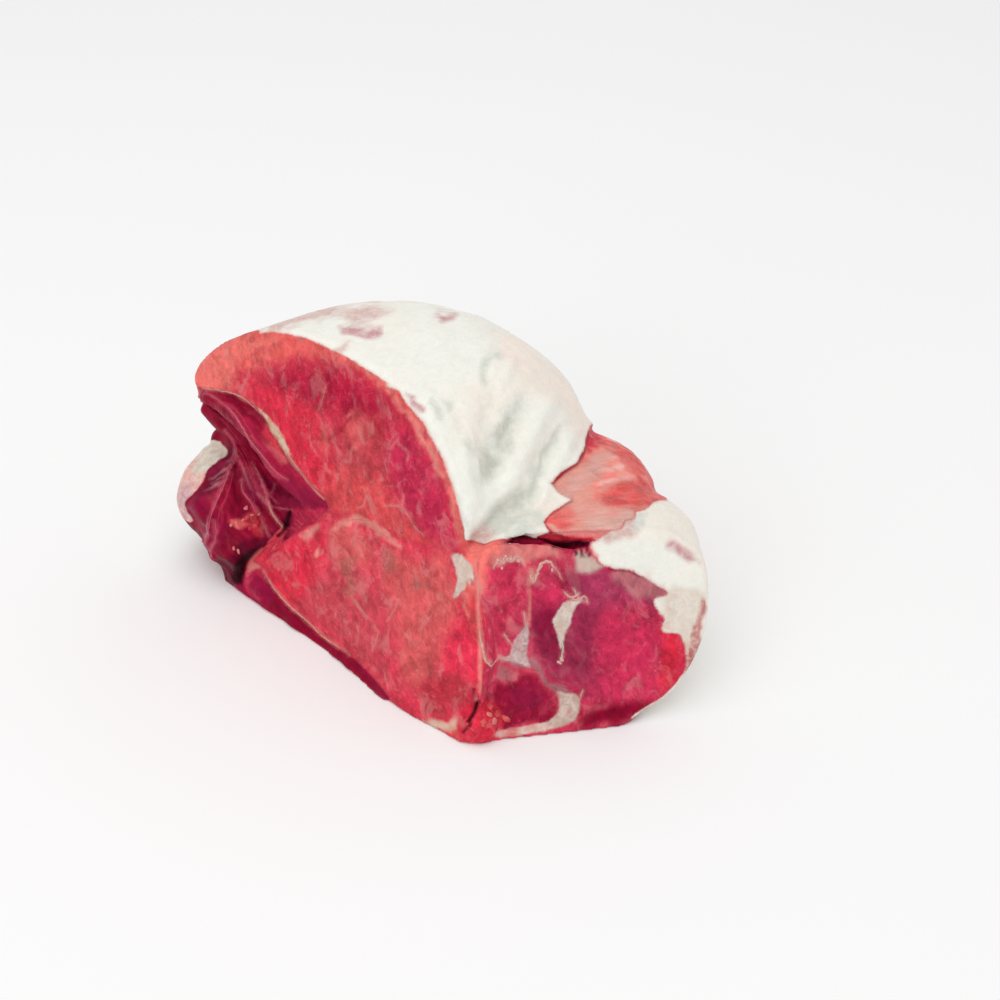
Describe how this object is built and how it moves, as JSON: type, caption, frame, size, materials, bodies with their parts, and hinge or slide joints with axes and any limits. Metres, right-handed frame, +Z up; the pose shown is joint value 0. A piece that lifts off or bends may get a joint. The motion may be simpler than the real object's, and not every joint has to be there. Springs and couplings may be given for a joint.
{
  "type": "boneless pork leg",
  "caption": "Raw boneless pork leg with a domed white fat cap, a slanting cut face at the rump end, a cut shank end and the hollow left by the hip bone.",
  "frame": {"origin": "centre of the footprint's bounding box, on the plane that the leg rests on", "axes": "+Z up, +X from the hip hollow toward the shank end, +Y from the cut faces toward the rounded back"},
  "size_m": [0.315, 0.2697, 0.1647],
  "materials": {
    "lean": "moist raw muscle, pinkish red with pale veins, slightly glossy",
    "fat": "firm cool-white fat with faint pink stains, satin"
  },
  "bodies": {
    "root": {"pork_leg": "lean"}
  },
  "joints": []
}
